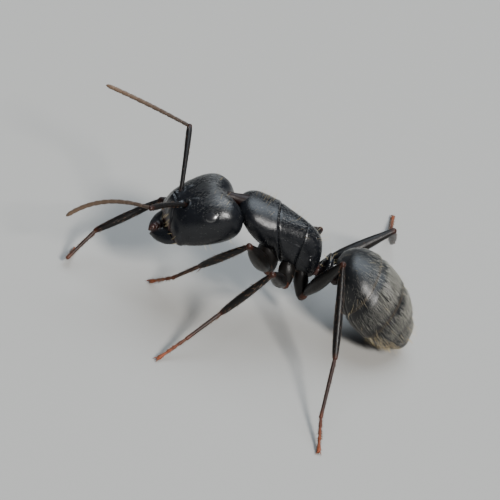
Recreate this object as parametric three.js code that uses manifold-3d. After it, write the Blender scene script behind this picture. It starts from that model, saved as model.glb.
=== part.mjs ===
// A carpenter ant worker at life size, in millimetres: +Z up, the ant faces -Y, its left side is +X.
// Every plate of the shell and every joint of a limb is a closed solid of its own.
import * as THREE from 'three';
import { mergeVertices } from 'three/addons/utils/BufferGeometryUtils.js';
import Module from 'manifold-3d';

const wasm = await Module();
wasm.setup();

// ---------- driving dimensions ----------
const GAP = 0.02;            // clear space between neighbouring plates
const LIMB_SIDES = 8;        // sides of a limb's section
const BODY_SIDES = 20;       // sides of a body section

const TRUNK_HEIGHT = 3.75;   // middle of the trunk above the floor
const TRUNK_PITCH = 16;      // degrees, front end raised
const HEAD_CENTRE = [0.36, -3.42, 4.12];
const HEAD_TURN = 18;        // degrees, face turned to the ant's left
const HEAD_NOD = 30;         // degrees, face bowed down
const HEAD_REACH = 1.525;    // from the head's middle forward to the front edge of the face
const HEAD_WIDTH = 3.1;
const HEAD_DEPTH = 2.15;
const EYE_RADIUS = 0.28;
const EYE_PLACE = [1.24, 0.21, 0.64];  // middle of the left eye in the head's frame
const GASTER_CENTRE = [0.16, 3.92, 1.94];
const GASTER_DROOP = 42;     // degrees, tail end lowered
const GASTER_FRONT = -2.3;   // the ends of the hind body along its own axis
const GASTER_TAIL = 2.45;
const GASTER_WIDTH = 3.5;
const GASTER_DEPTH = 2.54;

const FOOT_AXIS = 0.12;      // height of the last tarsal joint's middle over the floor
const TARSUS_RADIUS = 0.25;
const TIBIA_RADIUS = 0.26;

// Sizes of the three pairs of legs: lengths and the thickest radius of coxa and femur.
const LEG_SIZES = {
  fore: { coxa: 1.55, femur: 3.15, tibia: 2.85, heel: 1.55, toes: 1.35, coxaRadius: 0.42, femurRadius: 0.38 },
  mid: { coxa: 1.0, femur: 3.0, tibia: 2.65, heel: 1.68, toes: 1.5, coxaRadius: 0.34, femurRadius: 0.31 },
  hind: { coxa: 1.25, femur: 3.82, tibia: 3.6, heel: 2.43, toes: 1.6, coxaRadius: 0.35, femurRadius: 0.29 },
};

// Where each coxa hangs under the trunk, in the trunk's own frame (left side).
const LEG_ROOTS = {
  fore: [0.45, -0.66, -0.42],
  mid: [0.45, 0.45, -0.66],
  hind: [0.4, 1.1, -0.78],
};

// The stance: for each limb part, its sweep (0 straight out, 90 forward) and lift above level, in degrees.
// The lift of the toes follows from the height left over the floor.
const STANCE = {
  left_fore: { coxa: [-118, -71], femur: [31, 44], tibia: [125, -49], heel: [118, -50], toes: 126 },
  left_mid: { coxa: [-21, -65], femur: [19, 37], tibia: [86, -57], heel: [48, -33], toes: 47 },
  left_hind: { coxa: [-80, -74], femur: [-27, 56], tibia: [-13, -46], heel: [1, -35], toes: -7 },
  right_fore: { coxa: [54, 2], femur: [89, -11], tibia: [112, -34], heel: [138, -40], toes: -9 },
  right_mid: { coxa: [-51, -76], femur: [-20, 5], tibia: [31, -35], heel: [50, -18], toes: 0 },
  right_hind: { coxa: [-36, -48], femur: [-58, 26], tibia: [-9, -39], heel: [-2, -22], toes: -3 },
};

const SCAPE_LENGTH = 2.85;
const FLAGELLUM_LENGTH = 3.75;      // straight from elbow to tip
const FEELER_RADIUS = 0.25;
const SOCKET = [0.45, -0.6, 0.93];    // foot of the left scape in the head's frame
const FEELERS = {
  left: { scape: [29, 20], flagellum: [110, -32], arch: 0.42 },
  right: { scape: [7, 33], flagellum: [70, 1], arch: 0.05 },
};

// ---------- colours ----------
const shell = (colour, roughness) => new THREE.MeshStandardMaterial({ color: colour, roughness, metalness: 0 });
const BLACK = shell(0x17181a, 0.35);
const EYE_BLACK = shell(0x0c0d0f, 0.18);
const DUSKY = shell(0x232221, 0.5);
const LIMB_BLACK = shell(0x1b1715, 0.4);
const RUST = shell(0x5a2613, 0.45);

// ---------- small helpers ----------
const rad = THREE.MathUtils.degToRad;
const at = (x, y, z) => new THREE.Vector3(x, y, z);
const smooth = (from, to, x) => THREE.MathUtils.smoothstep(x, from, to);
const bell = (x, width) => Math.exp(-(x * x) / (width * width));

// A closed skin through rings of points; a ring of one point is a tip.
function skinRings(rings) {
  const points = [];
  const faces = [];
  const starts = rings.map((ring) => {
    const start = points.length;
    ring.forEach((p) => points.push(p));
    return start;
  });
  const bridge = (a, b) => {
    const [ra, rb] = [rings[a], rings[b]];
    const sides = Math.max(ra.length, rb.length);
    for (let i = 0; i < sides; i += 1) {
      const j = (i + 1) % sides;
      if (ra.length === 1) faces.push(starts[a], starts[b] + j, starts[b] + i);
      else if (rb.length === 1) faces.push(starts[a] + i, starts[a] + j, starts[b]);
      else {
        faces.push(starts[a] + i, starts[a] + j, starts[b] + j);
        faces.push(starts[a] + i, starts[b] + j, starts[b] + i);
      }
    }
  };
  for (let k = 0; k + 1 < rings.length; k += 1) bridge(k, k + 1);
  const geometry = new THREE.BufferGeometry().setFromPoints(points);
  geometry.setIndex(faces);
  return geometry;
}

function solidFrom(geometry, matrix = new THREE.Matrix4()) {
  const plain = geometry.clone().applyMatrix4(matrix);
  plain.deleteAttribute('normal');
  plain.deleteAttribute('uv');
  const merged = mergeVertices(plain, 1e-4);
  const vertProperties = new Float32Array(merged.attributes.position.array);
  const triVerts = new Uint32Array(merged.index.array);
  const solid = new wasm.Manifold(new wasm.Mesh({ numProp: 3, vertProperties, triVerts }));
  return solid;
}

function geometryFrom(solid) {
  const mesh = solid.getMesh();
  const geometry = new THREE.BufferGeometry();
  geometry.setAttribute('position', new THREE.BufferAttribute(new Float32Array(mesh.vertProperties), 3));
  geometry.setIndex(Array.from(mesh.triVerts));
  return geometry;
}

// A smooth value between listed stations [place, value...].
function stationCurve(stations) {
  const places = stations.map((s) => s[0]);
  return (x) => {
    let k = places.findIndex((p) => p >= x);
    if (k < 0) k = places.length - 1;
    k = THREE.MathUtils.clamp(k, 1, places.length - 1);
    const [a, b] = [stations[k - 1], stations[k]];
    const before = stations[Math.max(k - 2, 0)];
    const after = stations[Math.min(k + 1, stations.length - 1)];
    const span = b[0] - a[0];
    const t = THREE.MathUtils.clamp((x - a[0]) / span, 0, 1);
    return a.slice(1).map((_, i) => {
      const n = i + 1;
      const slopeA = ((b[n] - before[n]) / Math.max(b[0] - before[0], 1e-6)) * span;
      const slopeB = ((after[n] - a[n]) / Math.max(after[0] - a[0], 1e-6)) * span;
      const t2 = t * t;
      const t3 = t2 * t;
      const ends = a[n] * (2 * t3 - 3 * t2 + 1) + b[n] * (3 * t2 - 2 * t3);
      return ends + slopeA * (t3 - 2 * t2 + t) + slopeB * (t3 - t2);
    });
  };
}

// A body lofted along y: each station is [y, half width, top, bottom]; the ends close in a tip.
function bodyLoft(stations, ringCount, square = 2.2) {
  const curve = stationCurve(stations);
  const first = stations[0][0];
  const last = stations[stations.length - 1][0];
  const rings = [];
  for (let k = 0; k <= ringCount; k += 1) {
    const even = k / ringCount;
    const y = first + (last - first) * (0.5 - 0.5 * Math.cos(Math.PI * even));
    const [half, top, bottom] = curve(y);
    const middle = (top + bottom) / 2;
    if (k === 0 || k === ringCount) {
      rings.push([at(0, y, middle)]);
    } else {
      const ring = [];
      for (let i = 0; i < BODY_SIDES; i += 1) {
        const angle = (2 * Math.PI * i) / BODY_SIDES;
        const [c, s] = [Math.cos(angle), Math.sin(angle)];
        const x = half * Math.sign(c) * Math.abs(c) ** (2 / square);
        const z = ((top - bottom) / 2) * Math.sign(s) * Math.abs(s) ** (2 / square);
        ring.push(at(x, y, middle + z));
      }
      rings.push(ring);
    }
  }
  return skinRings(rings.map((ring) => ring.slice().reverse()));
}

// A turned limb between two points: profile pairs are [share of the length, radius].
function limb(from, to, profile) {
  const length = from.distanceTo(to);
  const first = profile[0][1];
  const last = profile[profile.length - 1][1];
  const outline = [new THREE.Vector2(0, -first)];
  outline.push(new THREE.Vector2(first * Math.SQRT1_2, -first * Math.SQRT1_2));
  profile.forEach(([share, radius]) => outline.push(new THREE.Vector2(radius, share * length)));
  outline.push(new THREE.Vector2(last * Math.SQRT1_2, length + last * Math.SQRT1_2));
  outline.push(new THREE.Vector2(0, length + last));
  const geometry = new THREE.LatheGeometry(outline, LIMB_SIDES);
  const turn = new THREE.Quaternion().setFromUnitVectors(at(0, 1, 0), to.clone().sub(from).normalize());
  geometry.applyQuaternion(turn);
  geometry.translate(from.x, from.y, from.z);
  return geometry;
}

// A round tube through points, mitred at each bend and closed by a blunt cone at each end.
function tube(points, radius) {
  const steps = points.slice(1).map((p, k) => p.clone().sub(points[k]).normalize());
  const course = (k) => steps[THREE.MathUtils.clamp(k, 0, steps.length - 1)];
  let across = at(0, 0, 1).cross(course(0)).normalize();
  const rings = [[points[0].clone().addScaledVector(course(0), -radius * 0.7)]];
  points.forEach((point, k) => {
    const before = course(k - 1);
    across = across.clone().addScaledVector(before, -across.dot(before)).normalize();
    const up = before.clone().cross(across);
    const normal = before.clone().add(course(k)).normalize();
    const ring = [];
    for (let i = 0; i < LIMB_SIDES; i += 1) {
      const angle = (2 * Math.PI * i) / LIMB_SIDES;
      const offset = across.clone().multiplyScalar(radius * Math.cos(angle));
      offset.addScaledVector(up, radius * Math.sin(angle));
      const slide = -offset.dot(normal) / before.dot(normal);
      ring.push(point.clone().add(offset).addScaledVector(before, slide));
    }
    rings.push(ring);
    across = across.clone().addScaledVector(course(k), -across.dot(course(k))).normalize();
  });
  const last = points[points.length - 1];
  rings.push([last.clone().addScaledVector(course(steps.length), radius * 0.7)]);
  return skinRings(rings);
}

const grow = (profile, by) => profile.map(([share, radius]) => [share, radius + by]);

function direction([sweep, lift], side) {
  const level = Math.cos(rad(lift));
  return at(side * level * Math.cos(rad(sweep)), -level * Math.sin(rad(sweep)), Math.sin(rad(lift)));
}

// ---------- frames of the body ----------
function frame(position, turns) {
  const group = new THREE.Group();
  group.position.set(...position);
  group.rotation.set(rad(turns[0]), rad(turns[1]), rad(turns[2]), 'ZXY');
  group.updateMatrixWorld(true);
  return group;
}

const ant = new THREE.Group();
const trunk = frame([0, 0, TRUNK_HEIGHT], [-TRUNK_PITCH, 0, 0]);
const head = frame(HEAD_CENTRE, [HEAD_NOD, 0, HEAD_TURN]);
const gaster = frame(GASTER_CENTRE, [-GASTER_DROOP, 0, 0]);
ant.add(trunk, head, gaster);

function put(group, name, solid, material) {
  const mesh = new THREE.Mesh(geometryFrom(solid), material);
  mesh.name = name;
  group.add(mesh);
  return mesh;
}

// Half of space on one side of a plane through a point, as a large block.
const BLOCK = 30;
function beyond(point, normal) {
  const n = at(...normal).normalize();
  const box = new THREE.BoxGeometry(BLOCK, BLOCK, BLOCK);
  box.translate(0, BLOCK / 2, 0);
  box.applyQuaternion(new THREE.Quaternion().setFromUnitVectors(at(0, 1, 0), n));
  box.translate(...point);
  return solidFrom(box);
}

// Cuts a solid into slices at planes [point, normal], with a gap at each cut.
function slices(whole, planes) {
  const made = [];
  let rest = whole;
  planes.forEach(([point, normal]) => {
    const n = at(...normal).normalize().multiplyScalar(GAP / 2);
    const front = at(...point).sub(n);
    const back = at(...point).add(n);
    const towards = normal.map((v) => -v);
    made.push(rest.intersect(beyond(front.toArray(), towards)));
    rest = rest.intersect(beyond(back.toArray(), normal));
  });
  made.push(rest);
  return made;
}

// ---------- trunk ----------
// Stations: y, half width, top, bottom.
const TRUNK_STATIONS = [
  [-2.44, 0.0, 0.44, 0.4],
  [-2.4, 0.34, 0.58, 0.22],
  [-2.18, 0.74, 0.79, -0.04],
  [-1.86, 1.0, 0.92, -0.28],
  [-1.38, 1.11, 0.99, -0.54],
  [-0.9, 1.1, 1.0, -0.64],
  [-0.45, 0.98, 0.98, -0.7],
  [0.0, 0.86, 0.97, -0.94],
  [0.5, 0.74, 0.91, -1.12],
  [0.95, 0.67, 0.76, -1.2],
  [1.25, 0.62, 0.53, -1.2],
  [1.5, 0.52, 0.1, -1.12],
  [1.66, 0.36, -0.36, -1.0],
  [1.72, 0.0, -0.66, -0.7],
];
const PRONOTAL_SUTURE = [[0, -0.9, 0.98], [0, 0.77, 0.47]];
const METANOTAL_SUTURE = [[0, 0.42, 0.85], [0, 0.97, 0.2]];
const trunkWhole = solidFrom(bodyLoft(TRUNK_STATIONS, 18, 2.1));
const [pronotum, mesothorax, propodeum] = slices(trunkWhole, [PRONOTAL_SUTURE, METANOTAL_SUTURE]);
put(trunk, 'pronotum', pronotum, BLACK);
put(trunk, 'mesothorax', mesothorax, BLACK);
put(trunk, 'propodeum', propodeum, BLACK);
const trunkWorld = solidFrom(bodyLoft(TRUNK_STATIONS, 18, 2.1).scale(1.02, 1.01, 1.02), trunk.matrixWorld);

// ---------- head ----------
const half = HEAD_WIDTH / 2;
const deep = HEAD_DEPTH / 2;
const long = HEAD_REACH;
const HEAD_STATIONS = [
  [-long, 0.0, -0.02, -0.06],
  [-long + 0.04, 0.62 * half, 0.36 * deep, -0.42 * deep],
  [-0.72 * long, 0.77 * half, 0.79 * deep, -0.72 * deep],
  [-0.4 * long, 0.885 * half, 0.95 * deep, -0.88 * deep],
  [0.0, 0.975 * half, deep, -0.98 * deep],
  [0.36 * long, half, 0.97 * deep, -deep],
  [0.64 * long, 0.94 * half, 0.82 * deep, -0.88 * deep],
  [0.82 * long, 0.76 * half, 0.58 * deep, -0.64 * deep],
  [0.91 * long, 0.5 * half, 0.3 * deep, -0.36 * deep],
  [0.935 * long, 0.0, 0.02, -0.02],
];
const NAPE_HOLLOW = 0.24;
function headShape() {
  const geometry = bodyLoft(HEAD_STATIONS, 16, 2.5);
  const place = geometry.attributes.position;
  for (let i = 0; i < place.count; i += 1) {
    const y = place.getY(i);
    const hollow = NAPE_HOLLOW * bell(place.getX(i), 0.55) * smooth(0.3 * long, 0.93 * long, y);
    place.setY(i, y - hollow);
  }
  return geometry;
}

function eyeShape(side, extra) {
  const globe = new THREE.SphereGeometry(1, 12, 7);
  globe.scale(EYE_RADIUS * 0.45 + extra, EYE_RADIUS * 1.05 + extra, EYE_RADIUS * 0.95 + extra);
  globe.rotateY(rad(-side * 52));
  globe.translate(side * EYE_PLACE[0], EYE_PLACE[1], EYE_PLACE[2]);
  return globe;
}

let capsule = solidFrom(headShape());
const headSolid = capsule;
for (const [word, side] of [['left', 1], ['right', -1]]) {
  capsule = capsule.subtract(solidFrom(eyeShape(side, GAP)));
  put(head, `eye_${word}`, solidFrom(eyeShape(side, 0)), EYE_BLACK);
}
put(head, 'head', capsule, BLACK);

// Mandibles: broad blades, closed against each other in front of the face.
// Each row is a section of the left one: outer x and y, inner x and y, middle height, half thickness.
const JAW = [
  [0.95, -1.28, 0.5, -1.3, -0.12, 0.26],
  [0.97, -1.55, 0.34, -1.46, -0.12, 0.26],
  [0.88, -1.82, 0.18, -1.6, -0.1, 0.25],
  [0.7, -2.03, 0.07, -1.76, -0.08, 0.22],
  [0.48, -2.17, 0.045, -1.94, -0.06, 0.18],
  [0.26, -2.25, 0.04, -2.1, -0.04, 0.12],
];
const JAW_ROOT = [0.72, -1.16, -0.12];
const JAW_TIP = [0.14, -2.3, -0.04];
function mandibleShape(side) {
  const rings = [[at(side * JAW_ROOT[0], JAW_ROOT[1], JAW_ROOT[2])]];
  JAW.forEach(([outX, outY, inX, inY, middle, thick]) => {
    const ring = [];
    for (let i = 0; i < LIMB_SIDES; i += 1) {
      const angle = (2 * Math.PI * i) / LIMB_SIDES;
      const outward = 0.5 + 0.5 * Math.cos(angle);
      const x = inX + (outX - inX) * outward;
      const y = inY + (outY - inY) * outward;
      ring.push(at(side * x, y, middle + thick * Math.sin(angle)));
    }
    rings.push(ring);
  });
  rings.push([at(side * JAW_TIP[0], JAW_TIP[1], JAW_TIP[2])]);
  return skinRings(side > 0 ? rings : rings.map((ring) => ring.slice().reverse()));
}

const headGrown = solidFrom(headShape().scale(1 + GAP / half, 1 + GAP / long, 1 + GAP / deep));
for (const [word, side] of [['left', 1], ['right', -1]]) {
  put(head, `mandible_${word}`, solidFrom(mandibleShape(side)).subtract(headGrown), BLACK);
}

// ---------- neck ----------
const headWorld = solidFrom(headShape().scale(1 + GAP / half, 1 + GAP / long, 1 + GAP / deep), head.matrixWorld);
const nape = head.localToWorld(at(0, 0.72 * long, 0.32));
const collar = trunk.localToWorld(at(0, -1.9, 0.5));
const neckSolid = solidFrom(limb(collar, nape, [[0, 0.4], [0.5, 0.34], [1, 0.34]]));
put(ant, 'neck', neckSolid.subtract(headWorld).subtract(trunkWorld), RUST);

// ---------- petiole and gaster ----------
const GASTER_STATIONS = [
  [GASTER_FRONT, 0.0, 0.12, 0.08],
  [-2.25, 0.5, 0.52, -0.2],
  [-1.95, 1.0, 0.88, -0.42],
  [-1.5, 1.4, 1.16, -0.68],
  [-0.9, 1.66, 1.32, -1.02],
  [-0.2, GASTER_WIDTH / 2, 1.4, 1.4 - GASTER_DEPTH],
  [0.4, 1.71, 1.36, -1.1],
  [0.95, 1.56, 1.24, -0.99],
  [1.45, 1.28, 1.02, -0.8],
  [1.9, 0.9, 0.74, -0.56],
  [2.25, 0.5, 0.4, -0.3],
  [GASTER_TAIL, 0.0, 0.02, -0.02],
];
const TERGITE_EDGES = [
  [[0, -0.85, 0], [0, 1, 0.3]],
  [[0, 0.5, 0], [0, 1, 0.24]],
  [[0, 1.4, 0], [0, 1, 0.05]],
  [[0, 1.85, 0], [0, 1, -0.08]],
];
const gasterWhole = solidFrom(bodyLoft(GASTER_STATIONS, 18, 2));
slices(gasterWhole, TERGITE_EDGES).forEach((piece, k) => put(gaster, `gaster_${k + 1}`, piece, BLACK));
const gasterWorld = solidFrom(bodyLoft(GASTER_STATIONS, 18, 2).scale(1.01, 1.01, 1.015), gaster.matrixWorld);

// The petiole: a short waist joint bearing an upright leaf-shaped scale.
const PETIOLE_BASE = [0, 1.8, 2.44];
const LEAF_HEIGHT = 0.98;
function petioleLeaf(extra) {
  const levels = [
    [-0.42, 0.16, 0.16],
    [-0.3, 0.34, 0.26],
    [0, 0.44, 0.3],
    [0.3, 0.5, 0.27],
    [0.6, 0.52, 0.22],
    [0.82, 0.42, 0.17],
    [0.94, 0.24, 0.12],
  ];
  const rings = levels.map(([z, wide, thick]) => {
    const ring = [];
    for (let i = 0; i < 14; i += 1) {
      const angle = (2 * Math.PI * i) / 14;
      ring.push(at((wide + extra) * Math.cos(angle), (thick + extra) * Math.sin(angle), z));
    }
    return ring;
  });
  const geometry = skinRings([[at(0, 0, -0.46 - extra)], ...rings, [at(0, 0, LEAF_HEIGHT + extra)]]);
  geometry.rotateX(rad(-6));
  geometry.translate(...PETIOLE_BASE);
  return geometry;
}
const waistFront = at(0, 1.36, 2.62);
const waistBack = at(0, 2.3, 2.42);
const waist = (extra) => limb(waistFront, waistBack, grow([[0, 0.28], [0.5, 0.3], [1, 0.26]], extra));
const petioleSolid = solidFrom(petioleLeaf(0)).add(solidFrom(waist(0)));
const petioleGrown = solidFrom(petioleLeaf(GAP)).add(solidFrom(waist(GAP)));
put(ant, 'petiole', petioleSolid.subtract(trunkWorld).subtract(gasterWorld), BLACK);

// ---------- legs ----------
// Everything a limb may brush against, a little enlarged; each new piece is carved clear of it.
const occupied = [trunkWorld, headWorld, gasterWorld, petioleGrown];
const aboveFloor = beyond([0, 0, 0], [0, 0, 1]);

function carve(solid) {
  let result = solid;
  occupied.forEach((other) => {
    if (result.intersect(other).volume() > 1e-6) result = result.subtract(other);
  });
  return result.decompose().sort((a, b) => b.volume() - a.volume())[0];
}

function place(name, build, material) {
  put(ant, name, carve(build(0)), material);
  occupied.push(build(GAP));
}

const along = (from, course, length, side) => from.clone().add(direction(course, side).multiplyScalar(length));

function leg(word, side, pair) {
  const size = LEG_SIZES[pair];
  const stance = STANCE[`${word}_${pair}`];
  const [x, y, z] = LEG_ROOTS[pair];
  const root = trunk.localToWorld(at(side * x, y, z));
  const hip = along(root, stance.coxa, size.coxa, side);
  const knee = along(hip, stance.femur, size.femur, side);
  const shin = along(knee, stance.tibia, size.tibia, side);
  const heel = along(shin, stance.heel, size.heel, side);
  const drop = THREE.MathUtils.radToDeg(Math.asin((FOOT_AXIS - heel.z) / size.toes));
  const toe = along(heel, [stance.toes, drop], size.toes, side);
  const thigh = hip.clone().lerp(knee, 0.36 / size.femur);
  const c = size.coxaRadius;
  const f = size.femurRadius;
  const t = TIBIA_RADIUS;
  const r = TARSUS_RADIUS;
  const parts = {
    coxa: [root, hip, [[0, c * 0.9], [0.3, c], [0.7, c * 0.82], [1, 0.26]], LIMB_BLACK],
    trochanter: [hip, thigh, [[0, 0.25], [1, 0.27]], RUST],
    femur: [thigh, knee, [[0, 0.27], [0.3, f], [0.65, f * 0.92], [1, 0.26]], LIMB_BLACK],
    tibia: [knee, shin, [[0, 0.25], [0.15, t * 0.97], [0.65, t * 1.08], [1, 0.26]], LIMB_BLACK],
  };
  Object.entries(parts).forEach(([part, [from, to, profile, material]]) => {
    const build = (extra) => solidFrom(limb(from, to, grow(profile, extra)));
    place(`${part}_${pair}_${word}`, build, material);
  });
  const tarsus = (extra) => {
    const knuckles = [shin, shin.clone().lerp(heel, 0.5), heel, heel.clone().lerp(toe, 0.5), toe];
    return solidFrom(tube(knuckles, r + extra)).intersect(aboveFloor);
  };
  place(`tarsus_${pair}_${word}`, tarsus, RUST);
}

for (const [word, side] of [['left', 1], ['right', -1]]) {
  for (const pair of ['fore', 'mid', 'hind']) leg(word, side, pair);
}

// ---------- feelers ----------
// A flagellum is a tube bowed upward between elbow and tip.
function bowed(from, to, arch, radius) {
  const course = to.clone().sub(from).normalize();
  const across = at(0, 0, 1).cross(course).normalize();
  const up = course.clone().cross(across).normalize();
  const points = [];
  for (let k = 0; k <= 7; k += 1) {
    const t = k / 7;
    points.push(from.clone().lerp(to, t).add(up.clone().multiplyScalar(arch * 4 * t * (1 - t))));
  }
  return tube(points, radius);
}

for (const [word, side] of [['left', 1], ['right', -1]]) {
  const feeler = FEELERS[word];
  const [x, y, z] = SOCKET;
  const socket = head.localToWorld(at(side * x, y, z));
  const elbow = along(socket, feeler.scape, SCAPE_LENGTH, side);
  const tip = along(elbow, feeler.flagellum, FLAGELLUM_LENGTH, side);
  const r = FEELER_RADIUS;
  const scape = (extra) => solidFrom(limb(socket, elbow, grow([[0, r], [0.5, r], [1, r * 1.04]], extra)));
  place(`scape_${word}`, scape, BLACK);
  place(`flagellum_${word}`, (extra) => solidFrom(bowed(elbow, tip, feeler.arch, r + extra)), RUST);
}

// ---------- stand the ant over the middle of its own footprint ----------
ant.updateMatrixWorld(true);
const reach = new THREE.Box3().setFromObject(ant, true);
const middle = reach.getCenter(at(0, 0, 0));
ant.position.set(-middle.x, -middle.y, 0);

export default ant;
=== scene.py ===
import math

import bmesh
import bpy
import numpy as np
from mathutils import Matrix, Vector

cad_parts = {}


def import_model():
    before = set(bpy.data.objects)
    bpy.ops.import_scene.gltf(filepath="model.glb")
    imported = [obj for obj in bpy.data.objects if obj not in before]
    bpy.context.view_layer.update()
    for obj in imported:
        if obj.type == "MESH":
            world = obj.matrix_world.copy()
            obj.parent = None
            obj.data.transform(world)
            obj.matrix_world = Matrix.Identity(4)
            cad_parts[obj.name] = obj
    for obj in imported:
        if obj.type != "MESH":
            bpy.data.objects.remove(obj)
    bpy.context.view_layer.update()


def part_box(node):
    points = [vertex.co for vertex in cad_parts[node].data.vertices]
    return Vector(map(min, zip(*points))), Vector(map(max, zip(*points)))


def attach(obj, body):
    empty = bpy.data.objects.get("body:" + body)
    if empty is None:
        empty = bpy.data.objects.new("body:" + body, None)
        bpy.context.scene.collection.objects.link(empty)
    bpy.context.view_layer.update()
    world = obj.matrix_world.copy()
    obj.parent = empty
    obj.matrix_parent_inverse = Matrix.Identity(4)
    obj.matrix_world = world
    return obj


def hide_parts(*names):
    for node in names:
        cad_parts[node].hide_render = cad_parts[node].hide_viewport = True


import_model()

# ---------- sizes in millimetres and angles in degrees ----------
MM = 0.001
SIDES = (("left", 1), ("right", -1))   # the word in a name, and the sign of x
TRUNK_HEIGHT, TRUNK_PITCH = 3.75, 16
HEAD_CENTRE, HEAD_TURN, HEAD_NOD = (0.36, -3.42, 4.12), 18, 30
HEAD_REACH, HEAD_WIDTH, HEAD_DEPTH = 1.525, 3.1, 2.15
EYE_RADIUS, EYE_PLACE, EYE_TURN = 0.28, (1.24, 0.21, 0.64), 52
EYE_OVAL = (0.38, 1.05, 0.95)   # depth, length and height of the shown lens, against the radius
GASTER_CENTRE, GASTER_DROOP = (0.16, 3.92, 1.94), 42
GASTER_FRONT, GASTER_TAIL, GASTER_WIDTH, GASTER_DEPTH = -2.3, 2.45, 3.5, 2.54
COAT_DEPTH = 0.03            # the skin of the hind body lies this far inside its coat
WAIST_SCALE_FOOT, WAIST_SCALE_LEAN = (0, 1.8, 2.44), 6
WAIST_FRONT, WAIST_BACK = np.array((0, 1.36, 2.62)), np.array((0, 2.3, 2.42))

LEG_SIZES = {
    "fore": dict(coxa=1.55, femur=3.15, tibia=2.85, heel=1.55, toes=1.35, coxa_radius=0.43, femur_radius=0.33),
    "mid": dict(coxa=1.0, femur=3.0, tibia=2.65, heel=1.68, toes=1.5, coxa_radius=0.33, femur_radius=0.28),
    "hind": dict(coxa=1.25, femur=3.82, tibia=3.6, heel=2.43, toes=1.6, coxa_radius=0.3, femur_radius=0.27),
}
LEG_ROOTS = {"fore": (0.45, -0.66, -0.42), "mid": (0.45, 0.45, -0.66), "hind": (0.4, 1.1, -0.78)}
# The stance: each limb part's sweep (0 straight out, 90 forward) and lift above level.
STANCE = {
    "left_fore": dict(coxa=(-118, -71), femur=(31, 44), tibia=(125, -49), heel=(118, -50), toes=126),
    "left_mid": dict(coxa=(-21, -65), femur=(19, 37), tibia=(86, -57), heel=(48, -33), toes=47),
    "left_hind": dict(coxa=(-80, -74), femur=(-27, 56), tibia=(-13, -46), heel=(1, -35), toes=-7),
    "right_fore": dict(coxa=(54, 2), femur=(89, -11), tibia=(112, -34), heel=(138, -40), toes=-9),
    "right_mid": dict(coxa=(-51, -76), femur=(-20, 5), tibia=(31, -35), heel=(50, -18), toes=0),
    "right_hind": dict(coxa=(-36, -48), femur=(-58, 26), tibia=(-9, -39), heel=(-2, -22), toes=-3),
}
FOOT_AXIS = 0.12             # where the solids carry the middle of a foot
TROCHANTER_LENGTH = 0.36
TOE_CUT, TOE_HEIGHT = 0.15, 0.085   # the last toe joint stops short, to leave room for the claws
CLAW_REACH, CLAW_SPREAD, CLAW_HEIGHT = 0.18, 0.75, 0.012
TOE_SHARES = (0, 0.3, 0.5, 0.66, 1.0)
SPUR_LENGTH, SPUR_RADIUS = 0.42, 0.022
FLAGELLUM_JOINTS = 11
SCAPE_LENGTH, FLAGELLUM_LENGTH = 2.85, 3.75
SOCKET = (0.45, -0.6, 0.93)
FEELERS = {
    "left": dict(scape=(29, 20), flagellum=(110, -32), arch=0.42),
    "right": dict(scape=(7, 33), flagellum=(70, 1), arch=0.05),
}
# Trunk, head and gaster are stations along the body: place, half width, top, bottom.
TRUNK_STATIONS = [
    (-2.44, 0.0, 0.44, 0.4),
    (-2.4, 0.34, 0.58, 0.22),
    (-2.18, 0.74, 0.79, -0.04),
    (-1.86, 1.0, 0.92, -0.28),
    (-1.38, 1.11, 0.99, -0.54),
    (-0.9, 1.1, 1.0, -0.64),
    (-0.45, 0.98, 0.98, -0.7),
    (0.0, 0.86, 0.97, -0.94),
    (0.5, 0.74, 0.91, -1.12),
    (0.95, 0.67, 0.76, -1.2),
    (1.25, 0.62, 0.53, -1.2),
    (1.5, 0.52, 0.1, -1.12),
    (1.66, 0.36, -0.36, -1.0),
    (1.72, 0.0, -0.66, -0.7),
]
PRONOTAL_SUTURE = ((0, -0.9, 0.98), (0, 0.77, 0.47))
METANOTAL_SUTURE = ((0, 0.42, 0.85), (0, 0.97, 0.2))
BREATHING_HOLE = (1.12, -0.02)   # its place in the side view of the trunk
HALF, DEEP, LONG = HEAD_WIDTH / 2, HEAD_DEPTH / 2, HEAD_REACH
HEAD_STATIONS = [
    (-LONG, 0.0, -0.02, -0.06),
    (-LONG + 0.04, 0.62 * HALF, 0.36 * DEEP, -0.42 * DEEP),
    (-0.72 * LONG, 0.77 * HALF, 0.79 * DEEP, -0.72 * DEEP),
    (-0.4 * LONG, 0.885 * HALF, 0.95 * DEEP, -0.88 * DEEP),
    (0.0, 0.975 * HALF, DEEP, -0.98 * DEEP),
    (0.36 * LONG, HALF, 0.97 * DEEP, -DEEP),
    (0.64 * LONG, 0.94 * HALF, 0.82 * DEEP, -0.88 * DEEP),
    (0.82 * LONG, 0.76 * HALF, 0.58 * DEEP, -0.64 * DEEP),
    (0.91 * LONG, 0.5 * HALF, 0.3 * DEEP, -0.36 * DEEP),
    (0.935 * LONG, 0.0, 0.02, -0.02),
]
NAPE_HOLLOW = 0.24
UNDER_MOUTH_STATIONS = [
    (-1.85, 0.0, -0.3, -0.32),
    (-1.8, 0.16, -0.2, -0.4),
    (-1.55, 0.4, -0.1, -0.52),
    (-1.3, 0.56, -0.02, -0.56),
    (-1.0, 0.5, -0.02, -0.5),
    (-0.95, 0.0, -0.2, -0.24),
]
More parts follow.
